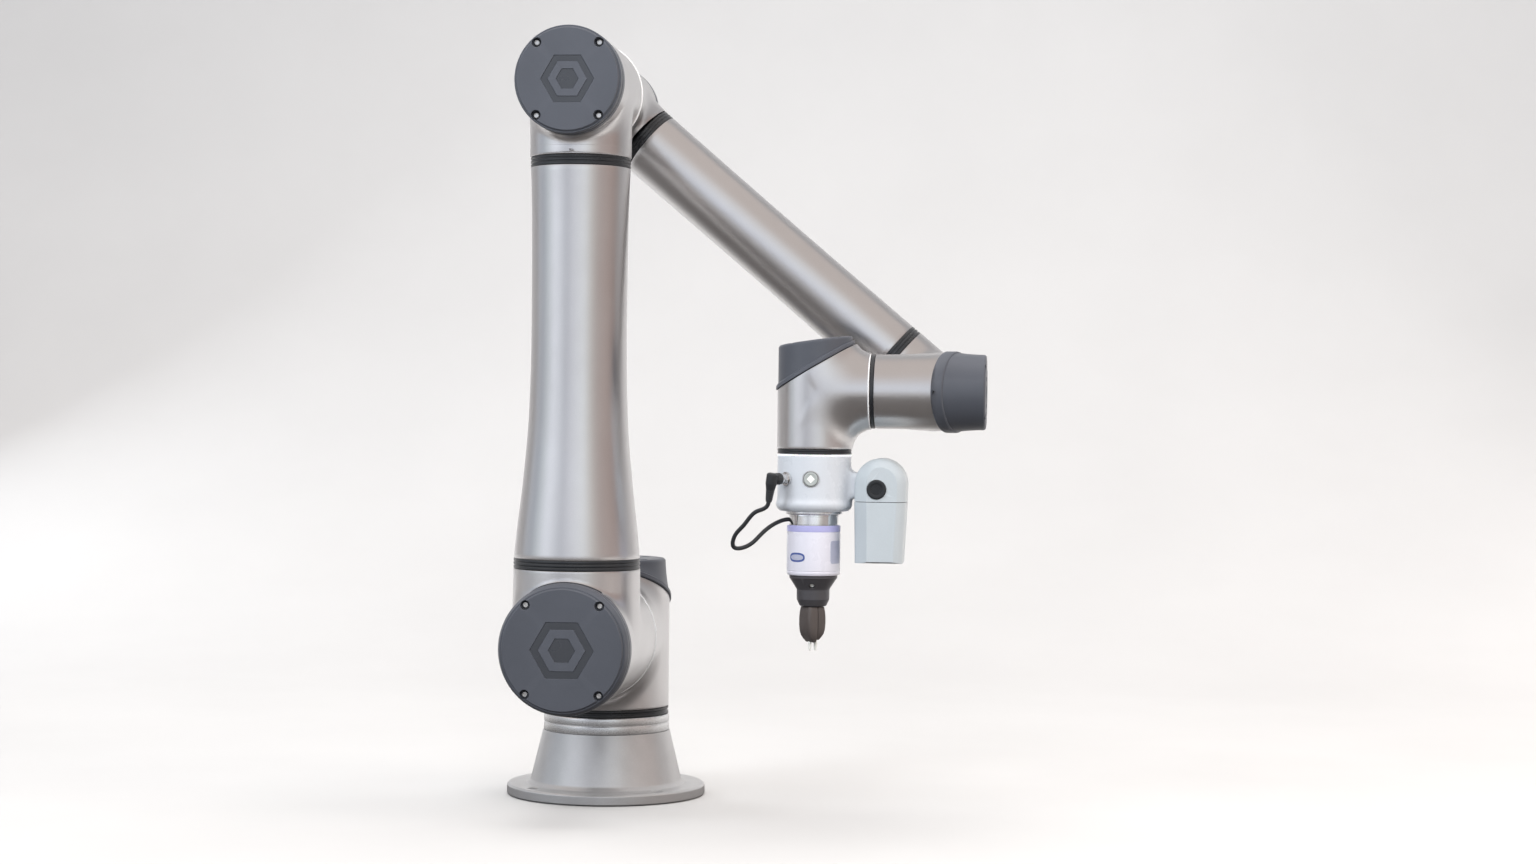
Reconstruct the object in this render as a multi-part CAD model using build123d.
from build123d import *
import os
from math import sin, cos, radians

# Six-axis collaborative robot arm with a vision end module and a small
# electric two-finger gripper.  Millimetres, +Z up, origin at the centre of the
# base's bottom face on the joint 1 axis.  -Y is the front and the arm reaches
# toward +X.  Rest pose: upper arm upright, forearm sloping down, tool
# pointing straight down.

# ---------------- driving dimensions ----------------
# axes and centre planes; each *_Y is measured forward (-Y) from the joint 1 axis
SHOULDER_Z = 165.0      # joint 2 axis above the base's bottom face
UPPER_Y = 176.0         # upper-arm centre plane
UPPER_LEN = 527.0       # joint 2 axis to joint 3 axis
FORE_Y = 30.0           # forearm centre plane
FORE_LEN = 438.0        # joint 3 axis to joint 4 axis
FORE_ANGLE = 130.5      # forearm direction from straight up
WRIST_Y = 152.0         # wrist centre plane
WRIST_LEN = 110.0       # joint 4 axis to joint 6 axis
FLANGE_DROP = 113.5     # joint 5 axis to the tool flange face
# interface planes between neighbouring links
JOINT1_Z = 89.5
JOINT2_Y = 80.0
JOINT3_Y = 127.0
JOINT4_Y = 96.0
JOINT5_X = 57.7         # from the joint 6 axis
JOINT6_DROP = 60.0      # below the joint 5 axis
GAP = 0.3               # running gap between two links
HUB_CLEARANCE = 0.05    # radial, hub in its bearing
HUB_RATIO = 0.52        # gear hub radius / drive radius
# outer radii
BASE_R = 100.0
TURRET_R = 62.6
SHOULDER_R = 61.5
UPPER_LOW_R = 60.0      # upper-arm tube at the lower band
ELBOW_R = 50.0
UPPER_HIGH_R = 47.4     # upper-arm tube at the upper band
FORE_ELBOW_R = 44.5
FORE_R = 34.0           # forearm tube ends
WRIST1_R = 36.5
WRIST_R = 35.6
# bore radii, which are also the drive radii
BASE_BORE = 50.0
TURRET_BORE = 52.0
SHOULDER_BORE = 50.0
ELBOW_BORE = 42.0
FORE_ELBOW_BORE = 38.0
WRIST_BORE = 31.0
# base bolts
BASE_BOLT_CIRCLE = 176.0
BASE_BOLT_R = 5.5
# bands between housings and tubes
BAND_H = 10.0
UPPER_STUB = 72.0       # joint 2 axis to the lower band
ELBOW_STUB = 66.0       # joint 3 axis to the upper band
FORE_STUB = 48.5        # joint 3 axis to the forearm's first band
WRIST1_STUB = 51.5      # joint 4 axis to the forearm's second band
# cover seams, from the tube's centre plane
SHOULDER_SEAM = 51.0
ELBOW_SEAM = 53.0
FORE_SEAM = 37.0
# gripper
JAW_TURN = -35.0        # jaws turned about the tool axis
JAW_GAP = 1.0           # between the closed jaws

os.makedirs("parts", exist_ok=True)

UP, DOWN = (0, 0, 1), (0, 0, -1)
FRONT, REAR = (0, -1, 0), (0, 1, 0)
RIGHT, LEFT = (1, 0, 0), (-1, 0, 0)


# ---------------- helpers ----------------
def one(shape):
    """The single largest solid of a result."""
    return sorted(shape.solids(), key=lambda s: s.volume)[-1]


def group(items):
    return Compound(children=[one(i) for i in items])


def save(name, shape):
    export_step(shape, f"parts/{name}.step")


def save_one(name, shape):
    save(name, one(shape))


def cyl(radius, z0, z1, x=0.0, y=0.0):
    return Pos(x, y, z0) * Cylinder(
        radius, z1 - z0, align=(Align.CENTER, Align.CENTER, Align.MIN))


def ring(outer_r, inner_r, z0, z1):
    return cyl(outer_r, z0, z1) - cyl(inner_r, z0 - 1, z1 + 1)


def rev(points):
    """Solid of revolution about Z from (radius, height) points."""
    wire = Polyline(*[(r, 0, z) for r, z in points], close=True)
    return revolve(make_face(wire), Axis.Z, 360)


def box(x0, x1, y0, y1, z0, z1):
    return Pos((x0 + x1) / 2, (y0 + y1) / 2, (z0 + z1) / 2) * Box(
        x1 - x0, y1 - y0, z1 - z0)


def frame(origin, z_dir, x_dir=RIGHT):
    return Plane(origin=origin, x_dir=x_dir, z_dir=z_dir).location


def above(shape, plane):
    return split(shape, bisect_by=plane, keep=Keep.TOP)


def below(shape, plane):
    return split(shape, bisect_by=plane, keep=Keep.BOTTOM)


def polar(radius, degrees):
    return radius * cos(radians(degrees)), radius * sin(radians(degrees))


def four_around(radius):
    return [polar(radius, 45 + 90 * i) for i in range(4)]


def tool_point(x, y, z):
    """World point from offsets off the joint 5 / joint 6 crossing."""
    return TOOL_X + x, -WRIST_Y + y, WRIST_Z + z


# ---------------- frames ----------------
fore_x, fore_z = sin(radians(FORE_ANGLE)), cos(radians(FORE_ANGLE))
ELBOW_Z = SHOULDER_Z + UPPER_LEN
WRIST_X = FORE_LEN * fore_x                 # joint 4 axis
WRIST_Z = ELBOW_Z + FORE_LEN * fore_z
TOOL_X = WRIST_X - WRIST_LEN                # joint 6 axis
WRIST_CENTRE = (WRIST_X, -WRIST_Y, WRIST_Z)
TOOL_CENTRE = tool_point(0, 0, 0)

# joint frames: origin on the interface plane, +Z from parent to child;
# joint 6 points back toward the wrist
JOINT1 = frame((0, 0, JOINT1_Z), UP)
JOINT2 = frame((0, -JOINT2_Y, SHOULDER_Z), FRONT)
JOINT3 = frame((0, -JOINT3_Y, ELBOW_Z), REAR)
JOINT4 = frame((WRIST_X, -JOINT4_Y, WRIST_Z), FRONT)
JOINT5 = frame(tool_point(JOINT5_X, 0, 0), LEFT, REAR)
JOINT6 = frame(tool_point(0, 0, -JOINT6_DROP), UP)

# tee link frames: +Z toward the cover, +Y along the tube
SHOULDER = frame((0, -UPPER_Y, SHOULDER_Z), FRONT)
ELBOW = frame((0, -UPPER_Y, ELBOW_Z), FRONT, LEFT)
FORE_ELBOW = frame((0, -FORE_Y, ELBOW_Z), REAR, (-fore_z, 0, fore_x))
WRIST1 = frame((WRIST_X, -FORE_Y, WRIST_Z), REAR, (fore_z, 0, -fore_x))
FORE_TUBE = frame((0, -FORE_Y, ELBOW_Z), (fore_x, 0, fore_z), REAR)  # +Z along it

# wrist frames on the axis crossings, named by where +Z points
WRIST_RIGHT = frame(WRIST_CENTRE, RIGHT, REAR)
WRIST_REAR = frame(WRIST_CENTRE, REAR)
TOOL_RIGHT = frame(TOOL_CENTRE, RIGHT, REAR)
TOOL = frame(TOOL_CENTRE, UP)

TO_Y = Rot(-90, 0, 0)                       # turns +Z to +Y


# ---------------- drive of one joint ----------------
def gear_unit(radius, depth):
    """Strain-wave gear on the parent link: circular spline, wave generator
    and a flexspline cup whose hub reaches into the child's bearing."""
    spline_r, hub_r, hub_bore = 0.74 * radius, HUB_RATIO * radius, 0.36 * radius
    cup_r = spline_r - 2.5
    spline = ring(radius, spline_r, -depth, -2.0)
    flexspline = rev([(spline_r, -depth + 2), (spline_r, -2.0), (hub_r, -2.0),
                      (hub_r, 15.0), (hub_bore, 15.0), (hub_bore, -5.0),
                      (cup_r, -5.0), (cup_r, -depth + 2)])
    generator = ring(cup_r, hub_bore, -depth + 3, -6.0)
    return group([spline, flexspline, generator])


def motor_unit(radius, length, hub_r=None):
    """Hollow-shaft servo motor with the crossed-roller bearing that carries
    the gear hub, fixed in the child link."""
    bearing_bore = (hub_r or HUB_RATIO * radius) + HUB_CLEARANCE
    body_r, shaft_bore = 0.80 * radius, 0.26 * radius
    motor_end = 17.0 + length
    bearing = rev([(radius, 4.0), (radius, 14.0), (bearing_bore, 14.0),
                   (bearing_bore, 4.0)])
    stator = rev([(radius, 17.0), (radius, 20.0), (body_r, 20.0),
                  (body_r, motor_end), (0.56 * radius, motor_end),
                  (0.56 * radius, 17.0)])
    rotor = rev([(0.54 * radius, 18.0), (0.54 * radius, 14.0 + length),
                 (shaft_bore, 14.0 + length), (shaft_bore, 18.0)])
    brake = ring(body_r, 0.22 * radius, motor_end, 23.0 + length)
    rotor = rotor + ring(0.34 * radius, shaft_bore, 13.9 + length, motor_end)
    return group([bearing, stator, rotor, brake])


# ---------------- parts shared by several links ----------------
def screw(radius, head_r, head_h, length):
    """Socket button-head screw, head seat at z 0, shank toward -Z."""
    head = cyl(head_r, 0, head_h)
    head = fillet(head.edges().group_by(Axis.Z)[-1], head_h * 0.4)
    socket = Pos(0, 0, head_h * 0.35) * extrude(
        RegularPolygon(radius * 0.75, 6), head_h)
    return head + cyl(radius, -length, 0) - socket


def round_cover(name, place, rim_r, face_r, depth, screw_circle_r, first_deg=45.0):
    """Save a round motor cover: seam at z 0, face at z depth, a narrow rim, a
    bevel to the face, screw pockets that break the face's edge.  Returns the
    placed screws and the holes to cut from the housing's seam."""
    screw_r, screw_depth = 2.2, 9.0
    outer = rev([(0, 0), (rim_r, 0), (rim_r, depth * 0.60),
                 (rim_r - 0.8, depth * 0.66), (face_r + 1.2, depth - 1.0),
                 (face_r, depth), (0, depth)])
    groove = ring(rim_r + 5, rim_r - 1.0, depth * 0.46, depth * 0.52)
    cover = outer - groove - cyl(rim_r - 10.4, -1, depth - 4.0)
    seat = depth - 6.0
    screws, holes = [], []
    for degrees in (first_deg, 180 - first_deg, 180 + first_deg, -first_deg):
        x, y = polar(screw_circle_r, degrees)
        cover = cover - cyl(4.6, seat, depth + 1, x, y) - cyl(
            screw_r + 0.2, -1, seat + 1, x, y)
        screws.append(place * (Pos(x, y, seat) * screw(
            screw_r, 3.9, 2.8, seat + screw_depth)))
        holes.append(cyl(screw_r, -screw_depth, 1.0, x, y))
    save(name, place * one(cover))
    return screws, holes


def tee(barrel_r, stub_r, barrel_bore, stub_bore, z_joint, z_seam, stub_end,
        lip_r, holes):
    """Link housing: joint barrel along Z, tube stub along +Y."""
    barrel = cyl(barrel_r, z_joint, z_seam)
    stub = TO_Y * cyl(stub_r, 0, stub_end) - cyl(
        barrel_r + 0.6, z_seam, z_seam + 60)
    body = barrel + stub
    body = body - cyl(barrel_bore, z_joint - 1, z_seam - 11)
    body = body - cyl(lip_r, z_seam - 12, z_seam + 1)
    bore = TO_Y * cyl(stub_bore, 0, stub_end + 1)
    bore = bore - cyl(barrel_r + 30, z_seam - 11, z_seam + 80)
    body = body - bore
    for hole in holes:
        body = body - Pos(0, 0, z_seam) * hole
    return one(body)


def band(radius, bore, groove, half_open, half_floor):
    """Band round a tube end with a bevelled groove at mid height."""
    mid = BAND_H / 2
    return rev([(radius, 0), (radius, mid - half_open),
                (radius - groove, mid - half_floor),
                (radius - groove, mid + half_floor),
                (radius, mid + half_open), (radius, BAND_H),
                (bore, BAND_H), (bore, 0)])


def spline_tube(stations, wall):
    """Tube along Z through (outer radius, height) stations."""
    outer = Spline(*[(r, 0, z) for r, z in stations])
    inner = Spline(*[(r - wall, 0, z) for r, z in reversed(stations)])
    section = make_face(Wire([outer, Line(outer @ 1, inner @ 0), inner,
                              Line(inner @ 1, outer @ 0)]))
    return revolve(section, Axis.Z, 360)


# ================= base =================
BASE_TOP = 65.0
TRIM_TOP = 81.5
CONNECTOR = Pos(0, 0, 33) * TO_Y            # +Z toward the rear
SEAL_TOP = JOINT1_Z - GAP

base = rev([(BASE_R, 0), (BASE_R, 9), (BASE_R - 2, 11), (79, 11), (76, 13.5),
            (69, 44), (TURRET_R + 3, 58), (TURRET_R + 1.5, BASE_TOP),
            (BASE_BORE, BASE_TOP), (BASE_BORE, 58), (58, 48), (62, 14), (62, 0)])
for x, y in four_around(BASE_BOLT_CIRCLE / 2):
    base -= cyl(BASE_BOLT_R, -1, 12, x, y)
base = base + (CONNECTOR * cyl(21, 55, 82) - cyl(64.0, -1, 60))
base = base - CONNECTOR * cyl(13, 50, 90)
save_one("base_housing", base)
save_one("base_trim_ring", rev([
    (TURRET_R + 0.8, BASE_TOP), (TURRET_R + 0.8, 80.5), (TURRET_R, TRIM_TOP),
    (BASE_BORE, TRIM_TOP), (BASE_BORE, BASE_TOP)]))
save_one("joint1_seal", rev([
    (TURRET_R, TRIM_TOP), (TURRET_R, 84.2), (TURRET_R - 1.2, 84.8),
    (TURRET_R - 1.2, 86.2), (TURRET_R, 86.8), (TURRET_R, SEAL_TOP),
    (BASE_BORE, SEAL_TOP), (BASE_BORE, TRIM_TOP)]))
save_one("base_connector", CONNECTOR * rev([
    (0, 60), (13, 60), (13, 82), (19, 82), (19, 86), (15, 86), (15, 97),
    (12.5, 97), (12.5, 88), (0, 88)]))
save("joint1_gear_unit", JOINT1 * gear_unit(BASE_BORE, 24))

# ================= turret (joint 1 to joint 2) =================
TURRET_SLOPE = 0.44     # the cover seam falls toward the rear
TURRET_SEAM_Z = 201.0   # seam height on the joint 1 axis
TURRET_TOP = 238.5
TURRET_SCREW_SEAT = 229.0
TURRET_SCREWS = ((40, -26), (-40, -26), (34, 32), (-34, 32))    # x, y


def turret_plane(z):
    return Plane(origin=(0, 0, z), z_dir=(0, TURRET_SLOPE, 1))


seam = turret_plane(TURRET_SEAM_Z)
port = frame((0, 0, SHOULDER_Z), FRONT)
outer = cyl(TURRET_R, JOINT1_Z, 270) + port * cyl(SHOULDER_R, 0, JOINT2_Y - GAP)
inner = cyl(TURRET_BORE, JOINT1_Z - 1, 280) + port * cyl(
    SHOULDER_BORE, 0, JOINT2_Y + 1)
housing = below(outer - inner, seam)
lip = below(above(ring(TURRET_BORE, 44, 120, 270), turret_plane(187)), seam)
housing = one(housing) + one(lip)

cover_r = TURRET_R + 1.6
cover = above(rev([(0, 150), (cover_r, 150), (cover_r, TURRET_TOP),
                   (0, TURRET_TOP)]), seam)
# cut that leaves a rim along the seam and a bevelled top edge
trim = above(rev([(TURRET_R + 9, 150), (TURRET_R - 0.6, 150),
                  (TURRET_R - 0.6, 206), (60.3, 222), (58.4, 234.5),
                  (57.2, 237.4), (55.0, TURRET_TOP), (55.0, 245),
                  (TURRET_R + 9, 245)]), turret_plane(206.5))
cover = one(cover) - one(trim)
cover = cover - above(below(cyl(TURRET_BORE, 150, 233), Plane.XY.offset(233)), seam)
screws = []
for x, y in TURRET_SCREWS:
    seam_z = TURRET_SEAM_Z - TURRET_SLOPE * y
    cover = cover + cyl(6.5, seam_z + 3.5, 234, x, y)
    cover = cover - cyl(4.4, TURRET_SCREW_SEAT, 245, x, y) - cyl(
        2.4, seam_z - 8, TURRET_SCREW_SEAT + 1, x, y)
    housing = housing + below(cyl(6.0, seam_z - 16, seam_z + 20, x, y), seam)
    housing = housing - cyl(2.2, seam_z - 11, seam_z + 6, x, y)
    screws.append(Pos(x, y, TURRET_SCREW_SEAT) * screw(
        2.2, 3.9, 2.8, TURRET_SCREW_SEAT - seam_z + 9))
cover = above(cover, seam)
save_one("turret_housing", housing)
save_one("turret_cover", cover)
save("turret_cover_screws", group(screws))
save("joint1_motor_unit", JOINT1 * motor_unit(TURRET_BORE, 26))
save("joint2_gear_unit", JOINT2 * gear_unit(SHOULDER_BORE, 24))

# ================= upper arm (joint 2 to joint 3) =================
UPPER_BAND_Z = UPPER_LEN - ELBOW_STUB - BAND_H      # above the joint 2 axis
UPPER_TUBE = (          # outer radius, height above the joint 2 axis
    (59.6, UPPER_STUB + BAND_H), (58.4, 95), (56.9, 110), (53.6, 138),
    (50.6, 167), (47.9, 198), (46.3, 230), (45.4, 262), (45.1, 300),
    (45.2, 345), (45.5, 385), (46.1, 420), (UPPER_HIGH_R - 0.3, UPPER_BAND_Z))

shoulder_screws, holes = round_cover(
    "shoulder_cover", SHOULDER * Pos(0, 0, SHOULDER_SEAM),
    SHOULDER_R + 0.3, 56.5, 24.0, 54.0, first_deg=50.0)
save("shoulder_housing", SHOULDER * tee(
    SHOULDER_R, UPPER_LOW_R, SHOULDER_BORE, 48, JOINT2_Y - UPPER_Y,
    SHOULDER_SEAM, UPPER_STUB, 46, holes))
save_one("upper_arm_lower_band", Pos(0, -UPPER_Y, SHOULDER_Z + UPPER_STUB) * band(
    UPPER_LOW_R, 48, 0.9, 1.4, 0.8))
save_one("upper_arm_tube", Pos(0, -UPPER_Y, SHOULDER_Z) * spline_tube(
    UPPER_TUBE, 4.5))
save_one("upper_arm_upper_band", Pos(0, -UPPER_Y, SHOULDER_Z + UPPER_BAND_Z) * band(
    UPPER_HIGH_R, 38, 0.8, 1.4, 0.8))
elbow_screws, holes = round_cover(
    "elbow_cover", ELBOW * Pos(0, 0, ELBOW_SEAM),
    ELBOW_R + 0.3, 47.5, 22.0, 44.5, first_deg=49.0)
save("elbow_housing", ELBOW * tee(
    ELBOW_R, UPPER_HIGH_R + 0.6, ELBOW_BORE, 38, JOINT3_Y - UPPER_Y,
    ELBOW_SEAM, ELBOW_STUB, 37, holes))
save("upper_arm_cover_screws", group(shoulder_screws + elbow_screws))
save("joint2_motor_unit", JOINT2 * motor_unit(SHOULDER_BORE, 34))
save("joint3_gear_unit", JOINT3 * gear_unit(ELBOW_BORE, 22))

# ================= forearm (joint 3 to joint 4) =================
FORE_BAND_END = FORE_LEN - WRIST1_STUB - BAND_H     # start of the second band
FORE_STATIONS = (       # outer radius, distance from the joint 3 axis
    (FORE_R - 0.2, FORE_STUB + BAND_H), (33.5, 110), (33.2, 170), (33.1, 220),
    (33.2, 280), (33.6, 330), (FORE_R - 0.2, FORE_BAND_END))

fore_screws, holes = round_cover(
    "forearm_elbow_cover", FORE_ELBOW * Pos(0, 0, FORE_SEAM),
    FORE_ELBOW_R + 0.3, 41.0, 20.0, 38.0)
joint_z = -(JOINT3_Y - FORE_Y) + GAP
housing = tee(FORE_ELBOW_R, FORE_R, FORE_ELBOW_BORE, 28, joint_z, FORE_SEAM,
              FORE_STUB, 33.0, holes)
# widens the barrel to the elbow's radius at the joint
flare = rev([(FORE_ELBOW_R - 1, joint_z), (ELBOW_R, joint_z),
             (ELBOW_R, joint_z + 6), (FORE_ELBOW_R, joint_z + 30),
             (FORE_ELBOW_R - 1, joint_z + 30)])
save("forearm_elbow_housing", FORE_ELBOW * one(housing + flare))
save_one("forearm_tube", FORE_TUBE * spline_tube(FORE_STATIONS, 4.0))
save("forearm_bands", group([
    FORE_TUBE * Pos(0, 0, start) * band(FORE_R, 28, 0.7, 1.2, 0.7)
    for start in (FORE_STUB, FORE_BAND_END)]))
wrist1_screws, holes = round_cover(
    "wrist1_cover", WRIST1 * Pos(0, 0, FORE_SEAM),
    WRIST1_R + 0.3, 33.5, 18.0, 31.0)
save("wrist1_housing", WRIST1 * tee(
    WRIST1_R, FORE_R, WRIST_BORE, 28, -(JOINT4_Y - FORE_Y), FORE_SEAM,
    WRIST1_STUB, 26, holes))
save("forearm_cover_screws", group(fore_screws + wrist1_screws))
save("joint3_motor_unit", JOINT3 * Pos(0, 0, GAP) * motor_unit(
    FORE_ELBOW_BORE, 34, hub_r=HUB_RATIO * ELBOW_BORE))
save("joint4_gear_unit", JOINT4 * gear_unit(WRIST_BORE, 20))

# ================= wrist 2 (joint 4 to joint 5) =================
# barrel along X with its cover toward +X, port toward the rear (joint 4)
WRIST2_SLOPE = 0.35
WRIST2_SEAM = 14.5      # seam on the barrel axis, right of the joint 4 axis
WRIST2_FACE = 52.0      # cover face, right of the joint 4 axis
PORT_LEN = WRIST_Y - JOINT4_Y
WRIST3_PORT = 53.6      # wrist 3 port end, right of the joint 6 axis
BARREL_END = -(WRIST_LEN - JOINT5_X)


def wrist2_plane(x):
    return Plane(origin=(WRIST_X + x, -WRIST_Y, WRIST_Z),
                 z_dir=(1, -WRIST2_SLOPE, 0))


seam = wrist2_plane(WRIST2_SEAM)
body = WRIST_RIGHT * rev([
    (0, BARREL_END), (WRIST_R - 0.4, BARREL_END), (WRIST_R + 0.2, -20),
    (38.0, 30), (38.0, 60), (0, 60)])
outer = body + WRIST_REAR * cyl(WRIST1_R, 0, PORT_LEN - GAP)
inner = WRIST_RIGHT * cyl(WRIST_BORE, BARREL_END - 1, 80) + WRIST_REAR * cyl(
    WRIST_BORE, 0, PORT_LEN + 1)
housing = one(below(outer - inner, seam))
lip = above(WRIST_RIGHT * ring(WRIST_BORE, 26.0, -20, 60), wrist2_plane(4.5))
housing = housing + one(below(lip, seam))

cover = one(above(WRIST_RIGHT * rev([
    (0, -20), (38.4, -20), (38.4, 26), (36.6, 34), (35.9, WRIST2_FACE - 2.5),
    (34.0, WRIST2_FACE), (0, WRIST2_FACE)]), seam))
# cut that leaves a rim along the seam
trim = above(WRIST_RIGHT * ring(50, 36.9, -20, 60), wrist2_plane(25.5))
cover = cover - one(trim)
cover = cover - one(above(WRIST_RIGHT * cyl(27, -25, WRIST2_FACE - 4), seam))
seat = WRIST2_FACE - 6.0
screws = []
for x, y in four_around(31.0):              # x along world +Y, y along world +Z
    seam_z = WRIST2_SEAM + WRIST2_SLOPE * x
    cover = cover - WRIST_RIGHT * cyl(4.2, seat, WRIST2_FACE + 2, x, y)
    cover = cover - WRIST_RIGHT * cyl(2.2, seam_z - 6, seat + 1, x, y)
    housing = housing - WRIST_RIGHT * cyl(2.0, seam_z - 9, seam_z + 5, x, y)
    screws.append(WRIST_RIGHT * Pos(x, y, seat) * screw(
        2.0, 3.5, 2.4, seat - seam_z + 7))
# running room for the joint 4 motor at the end of the port
room = WRIST_REAR * cyl(25.8, 15.5, PORT_LEN + 1)
housing = housing - room
cover = cover - room
# the port wall closes round the motor flange beyond the edge of the cover
housing = one(housing + WRIST_REAR * ring(WRIST1_R, WRIST_BORE, 38.9, PORT_LEN - GAP))
cover = one(cover - WRIST_REAR * cyl(31.5, 34.0, PORT_LEN + 1))
save("wrist2_housing", housing)
save("wrist2_cover", cover)
save("wrist2_cover_screws", group(screws))
save("joint4_motor_unit", JOINT4 * Pos(0, 0, GAP) * motor_unit(WRIST_BORE, 16))
save_one("joint5_seal", TOOL_RIGHT * rev([
    (WRIST_R - 0.3, WRIST3_PORT + GAP), (WRIST_R - 0.3, JOINT5_X),
    (WRIST_BORE, JOINT5_X), (WRIST_BORE, WRIST3_PORT + GAP)]))
save("joint5_gear_unit", JOINT5 * gear_unit(WRIST_BORE, 18))

# ================= wrist 3 (joint 5 to joint 6) =================
# upright barrel with its cover on top, port toward +X; heights in the TOOL frame
WRIST3_SLOPE = 0.59     # the cover seam rises toward +X
WRIST3_SEAM = 21.5      # seam height on the barrel axis
WRIST3_TOP = 47.6       # cover face height on the barrel axis
WRIST3_TOP_SLOPE = 0.14
WRIST3_BOTTOM = -54.9
WRIST3_SCREWS = ((-19.0, -23.5), (-19.0, 23.5), (20.5, -22.0), (20.5, 22.0))


def wrist3_plane(z, slope=WRIST3_SLOPE):
    return Plane(origin=tool_point(0, 0, z), z_dir=(-slope, 0, 1))


seam = wrist3_plane(WRIST3_SEAM)
body = TOOL * cyl(WRIST_R, WRIST3_BOTTOM, 90)
port = TOOL_RIGHT * cyl(WRIST_R - 0.4, 0, WRIST3_PORT)
inner = TOOL * cyl(WRIST_BORE, -56, 90) + TOOL_RIGHT * cyl(WRIST_BORE, 0, 60)
housing = one(below((body + port) - inner, seam))
lip = above(TOOL * ring(WRIST_BORE, 25.5, -30, 90), wrist3_plane(10.5))
housing = housing + one(below(lip, seam))
housing = housing - TOOL_RIGHT * cyl(27, 20, 60)

cover = one(above(TOOL * cyl(WRIST_R + 1.6, -30, 90), seam))
cover = one(below(cover, wrist3_plane(WRIST3_TOP, WRIST3_TOP_SLOPE)))
# cut that leaves a rim along the seam
trim = above(TOOL * ring(60, WRIST_R - 0.4, -30, 90), wrist3_plane(27.0))
cover = cover - one(trim)
cover = cover - one(below(above(TOOL * cyl(27, -30, 90), seam),
                          wrist3_plane(WRIST3_TOP - 4, WRIST3_TOP_SLOPE)))
screws = []
for x, y in WRIST3_SCREWS:
    seam_z = WRIST3_SEAM + WRIST3_SLOPE * x
    seat = WRIST3_TOP + WRIST3_TOP_SLOPE * x - 6.5
    cover = cover - TOOL * cyl(4.0, seat, 60, x, y)
    cover = cover - TOOL * cyl(2.1, seam_z - 8, seat + 1, x, y)
    housing = housing - TOOL * cyl(1.9, seam_z - 9.5, seam_z + 6, x, y)
    screws.append(TOOL * Pos(x, y, seat) * screw(1.9, 3.3, 2.4, seat - seam_z + 7))
save_one("wrist3_housing", housing)
save_one("wrist3_cover", cover)
save("wrist3_cover_screws", group(screws))
save("joint5_motor_unit", JOINT5 * Pos(0, 0, JOINT5_X - WRIST3_PORT) * motor_unit(
    WRIST_BORE, 10))
save_one("joint6_seal", TOOL * rev([
    (WRIST_R - 0.3, -JOINT6_DROP + GAP), (WRIST_R - 0.3, WRIST3_BOTTOM),
    (WRIST_BORE, WRIST3_BOTTOM), (WRIST_BORE, -JOINT6_DROP + GAP)]))
save("joint6_motor_unit", JOINT6 * motor_unit(WRIST_BORE, 5.5))

# ================= end module =================
# all heights from here on are in the TOOL frame
MODULE_R = 35.0
MODULE_TOP = -61.9
SIDE_Z = -83.0          # height of the front key and the tool connector
NECK_HALF_W = 13.0      # neck between the module and the camera
NECK_Z = (-101.0, -76.6)
NECK_END = 42.0
KEY = frame(tool_point(0, -20, SIDE_Z), FRONT)
socket_x, socket_y = polar(1, 228)          # outward direction of the connector
SOCKET = frame(tool_point(0, 0, SIDE_Z), (socket_x, socket_y, 0), UP)

module = TOOL * rev([
    (0, MODULE_TOP), (MODULE_R, MODULE_TOP), (MODULE_R, -100.5),
    (MODULE_R + 1.0, -103.5), (MODULE_R + 1.2, -107.5), (MODULE_R + 0.2, -111.5),
    (MODULE_R - 2.5, -FLANGE_DROP), (0, -FLANGE_DROP)])
neck = TOOL * box(28, NECK_END, -NECK_HALF_W, NECK_HALF_W, *NECK_Z)
module = module + fillet(neck.edges().filter_by(Axis.X), 5.0)
module = module - TOOL * cyl(WRIST_BORE, -74.0, -61.0) - TOOL * cyl(25, -104, -73)
module = module - KEY * cyl(6.9, 8, 20)
module = module - KEY * cyl(3.0, -10, 9)
module = module - SOCKET * cyl(5.5, 20, 45)
module = module - TOOL * cyl(14, -FLANGE_DROP - 1, -103)
save_one("end_module_housing", module)
save_one("status_light_ring", TOOL * ring(
    WRIST_R - 0.4, WRIST_BORE, MODULE_TOP, -JOINT6_DROP))
save("joint6_gear_unit", JOINT6 * gear_unit(WRIST_BORE, 13))
save_one("front_key", KEY * (
    rev([(0, 9.7), (6.8, 9.7), (6.8, 15.4), (6.0, 16.2), (0, 16.2)])
    + cyl(2.9, -2.0, 9.8)))
save_one("tool_connector", SOCKET * (
    rev([(0, 24), (5.5, 24), (5.5, 38.5), (4.6, 38.5), (4.6, 43.5), (0, 43.5)])
    + cyl(6.6, 35.2, 37.2)))

# right-angle cable plug: coupling nut on the socket, body turned down
PLUG_REACH = 54.0       # plug body from the tool axis
PLUG_LEN = 22.0
PLUG = frame(tool_point(PLUG_REACH * socket_x, PLUG_REACH * socket_y, SIDE_Z),
             (-0.14, 0.10, -1))
plug = SOCKET * rev([(0, 43.5), (5.6, 43.5), (5.6, 50), (4.9, 51), (4.9, 56),
                     (0, 56)])
plug = plug + PLUG * rev([
    (0, -5.5), (4.2, -5.5), (5.4, -4.0), (5.4, 5), (4.2, 11), (3.2, PLUG_LEN),
    (0, PLUG_LEN)])
save_one("cable_plug", plug)

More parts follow.
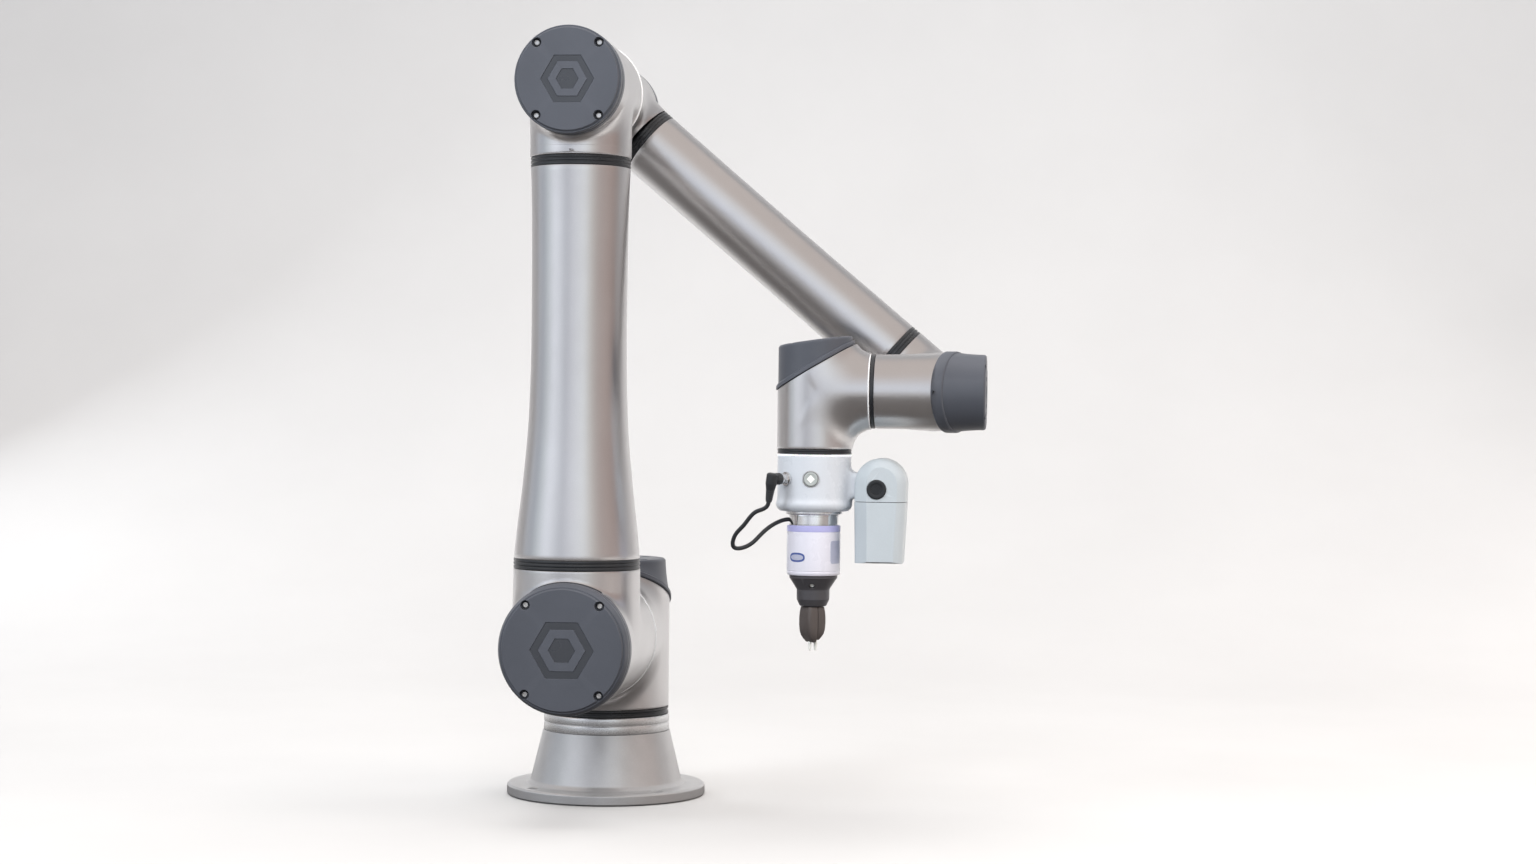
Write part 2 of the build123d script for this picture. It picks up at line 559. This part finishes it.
CABLE_R = 2.0
CABLE_POINTS = (        # x, y, z from the tool centre, plug to gripper
    (-51.0, -33.5, -114), (-63.3, -29, -127), (-73.0, -25, -139),
    (-73.5, -22, -148.2), (-63.0, -19, -148.0), (-49.0, -14, -136.5),
    (-37.0, -8, -126.5), (-27.0, -2.0, -122.4), (-20.0, -1.5, -122.0))
cable_start = (PLUG * Pos(0, 0, PLUG_LEN)).position
start_dir = (PLUG * Pos(0, 0, PLUG_LEN + 1)).position - cable_start
path = Spline(cable_start, *[Vector(*tool_point(*p)) for p in CABLE_POINTS],
              tangents=[start_dir, Vector(1, 0, 0)])
section = Plane(origin=path @ 0, z_dir=path % 0) * Circle(CABLE_R)
save_one("tool_cable", sweep(section, path))

# ================= camera: domed pod beside the module =================
POD_X = 64.2            # dome centre from the tool axis
POD_DOME_Z = -87.1
POD_SEAM_Z = -104.0
POD_BOTTOM = -161.8
POD_R = 24.2
POD_HALF_D = 27.5       # half depth along Y
POD_WALL = 3.0
LENS_R = 13.0


def pod(inset):
    """Domed block shrunk by inset, extruded toward the front."""
    radius = POD_R - inset
    half_depth = POD_HALF_D - inset
    sides = [(POD_X - radius, POD_DOME_Z), (POD_X - radius - 0.4, POD_SEAM_Z),
             (POD_X - radius + 0.6, POD_BOTTOM + inset),
             (POD_X + radius - 3.2, POD_BOTTOM + inset),
             (POD_X + radius - 0.3, POD_SEAM_Z), (POD_X + radius, POD_DOME_Z)]
    outline = [Polyline(*sides),
               ThreePointArc(sides[-1], (POD_X, POD_DOME_Z + radius), sides[0])]
    face = frame(TOOL_CENTRE, FRONT) * make_face(outline)
    face = Pos(0, half_depth, 0) * face
    return one(extrude(face, amount=2 * half_depth, dir=FRONT))


pod_outer = pod(0.0)
# the dome meets the sides at a slight angle, so the fillet may fail; the
# edges then stay sharp
try:
    pod_outer = fillet(pod_outer.faces().sort_by(Axis.Y)[0].edges()
                       + pod_outer.faces().sort_by(Axis.Y)[-1].edges(), 7.0)
except Exception:
    pass
BUTTON = frame(tool_point(61.0, -POD_HALF_D, -92.1), FRONT)
LENS = frame(tool_point(POD_X - 1.5, 0, POD_BOTTOM), DOWN)
camera = pod_outer - pod(POD_WALL)
camera = camera - TOOL * box(30, NECK_END, -NECK_HALF_W, NECK_HALF_W, *NECK_Z)
camera = camera - BUTTON * cyl(9.2, -2.2, 3) - BUTTON * cyl(5.0, -8, 0)
camera = camera - LENS * cyl(LENS_R, -5, 5)
seam = Plane(origin=tool_point(0, 0, POD_SEAM_Z), z_dir=UP)
save_one("camera_housing", above(camera, seam))
save_one("camera_lower_cover", below(camera, seam))
save_one("camera_lens", LENS * rev([
    (0, -2.0), (LENS_R, -2.0), (LENS_R, -3.0), (11.0, -3.0), (11.0, -34),
    (0, -34)]))
save_one("freedrive_button", BUTTON * (
    rev([(0, -1.0), (9.1, -1.0), (9.1, 1.2), (8.2, 2.2), (5.4, 2.2), (5.4, 1.8),
         (0, 1.8)]) + cyl(4.9, -7.5, -0.9)))

# ================= gripper =================
GRIPPER_TOP = -FLANGE_DROP - 3.2
GRIPPER_BOTTOM = -174.3
GUIDE_BOTTOM = -203.9
CABLE_ENTRY = frame(tool_point(-26.0, -1.5, -122.0), RIGHT, REAR)
GUIDE_SCREW = frame(tool_point(0.5, -15.5, -183.0), (0, -0.82, -0.57))
# jaw frame: +X is the jaws' sliding direction, +Z down
jaw_x, jaw_y = polar(1, JAW_TURN)
JAW = frame(TOOL_CENTRE, DOWN, (jaw_x, -jaw_y, 0))

save_one("gripper_adapter", TOOL * rev([
    (0, GRIPPER_TOP), (27, GRIPPER_TOP), (27, -FLANGE_DROP),
    (13.9, -FLANGE_DROP), (13.9, -106), (0, -106)]))
save_one("gripper_body", TOOL * rev([
    (0, GRIPPER_TOP), (24.2, GRIPPER_TOP), (24.2, -127), (25.5, -127.6),
    (25.5, -173.0), (24.6, GRIPPER_BOTTOM), (0, GRIPPER_BOTTOM)])
    - CABLE_ENTRY * cyl(2.5, -6, 7))
guide = TOOL * rev([
    (0, GRIPPER_BOTTOM), (22.8, GRIPPER_BOTTOM), (22.8, -177.5), (15.6, -187.8),
    (15.6, -198), (12.6, GUIDE_BOTTOM), (0, GUIDE_BOTTOM)])
guide = guide - JAW * box(-20, 20, -4.05, 4.05, 195.0, 204.5)
guide = guide - GUIDE_SCREW * cyl(2.6, -1.5, 12) - GUIDE_SCREW * cyl(1.5, -7, 0)
save_one("jaw_guide", guide)
save_one("gripper_screw", GUIDE_SCREW * Pos(0, 0, -1.5) * screw(1.5, 2.4, 1.6, 5.0))

FINGER_T = 9.2          # outer face from the tool axis
FINGER_W = 19.2
FINGER_TOP = 204.3
TIP_X = 3.0             # fingertip pin from the tool axis
TIP_R = 1.2
TIP_START = 229.0


def finger():
    """Finger on the jaw frame's +X side, with its slide and pin hole."""
    outline = [(JAW_GAP / 2, FINGER_TOP), (JAW_GAP / 2, 237.2), (3.2, 237.2),
               (FINGER_T * 0.95, 230.5), (FINGER_T, 222),
               (FINGER_T - 1.4, FINGER_TOP)]
    face = make_face(Polyline(*[(x, -FINGER_W / 2, z) for x, z in outline],
                              close=True))
    body = extrude(face, amount=FINGER_W, dir=REAR)
    body = body + box(JAW_GAP / 2, 8.6, -4.0, 4.0, 195.3, 204.4)
    return body - Pos(TIP_X, 0, 0) * cyl(TIP_R, TIP_START, 240)


save_one("finger_right", JAW * finger())
save_one("finger_left", JAW * mirror(finger(), Plane.YZ))
for side, x in (("right", TIP_X), ("left", -TIP_X)):
    save_one(f"fingertip_{side}", JAW * Pos(x, 0, 0) * rev([
        (0, TIP_START), (TIP_R, TIP_START), (TIP_R, 243.0), (0.7, 246.3),
        (0, 246.3)]))
